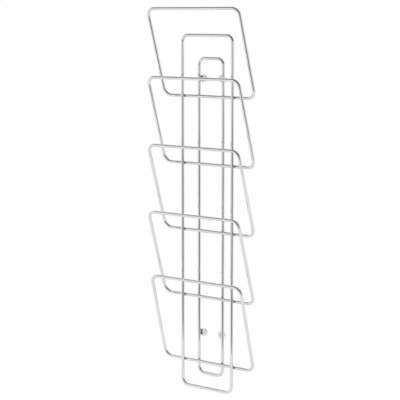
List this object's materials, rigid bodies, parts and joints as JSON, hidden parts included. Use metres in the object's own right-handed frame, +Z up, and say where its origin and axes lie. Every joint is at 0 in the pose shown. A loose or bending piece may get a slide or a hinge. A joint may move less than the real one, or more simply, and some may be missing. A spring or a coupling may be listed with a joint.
{
  "type": "magazine rack",
  "caption": "Wall-hung wire magazine rack: leaning rounded wire frames welded between two tall closed wire loops, with round wall spacers.",
  "frame": {"origin": "on the wall plane, at the middle of the four screw holes", "axes": "+Z up, +X to the right as seen from the front, +Y into the wall, so the rack stands out towards -Y"},
  "size_m": [0.2524, 0.0837, 0.8535],
  "materials": {
    "chrome_wire": "bright nickel-chrome plated steel wire",
    "wall_spacer": "turned steel ring, chrome plated",
    "weld": "plated weld flash, slightly dull"
  },
  "bodies": {
    "root": {"wide_back_loop": "chrome_wire", "narrow_back_loop": "chrome_wire", "lowest_pocket_frame": "chrome_wire", "lower_pocket_frame": "chrome_wire", "middle_pocket_frame": "chrome_wire", "upper_pocket_frame": "chrome_wire", "top_pocket_frame": "chrome_wire", "lowest_rail_weld_wide_left": "weld", "lowest_rail_weld_wide_right": "weld", "lowest_rail_weld_narrow_left": "weld", "lowest_rail_weld_narrow_right": "weld", "lower_rail_weld_wide_left": "weld", "lower_rail_weld_wide_right": "weld", "lower_rail_weld_narrow_left": "weld", "lower_rail_weld_narrow_right": "weld", "middle_rail_weld_wide_left": "weld", "middle_rail_weld_wide_right": "weld", "middle_rail_weld_narrow_left": "weld", "middle_rail_weld_narrow_right": "weld", "upper_rail_weld_wide_left": "weld", "upper_rail_weld_wide_right": "weld", "upper_rail_weld_narrow_left": "weld", "upper_rail_weld_narrow_right": "weld", "top_rail_weld_wide_left": "weld", "top_rail_weld_wide_right": "weld", "top_rail_weld_narrow_left": "weld", "top_rail_weld_narrow_right": "weld", "lower_left_spacer_weld": "weld", "lower_right_spacer_weld": "weld", "upper_left_spacer_weld": "weld", "upper_right_spacer_weld": "weld", "lower_left_wall_spacer": "wall_spacer", "lower_right_wall_spacer": "wall_spacer", "upper_left_wall_spacer": "wall_spacer", "upper_right_wall_spacer": "wall_spacer"}
  },
  "joints": []
}
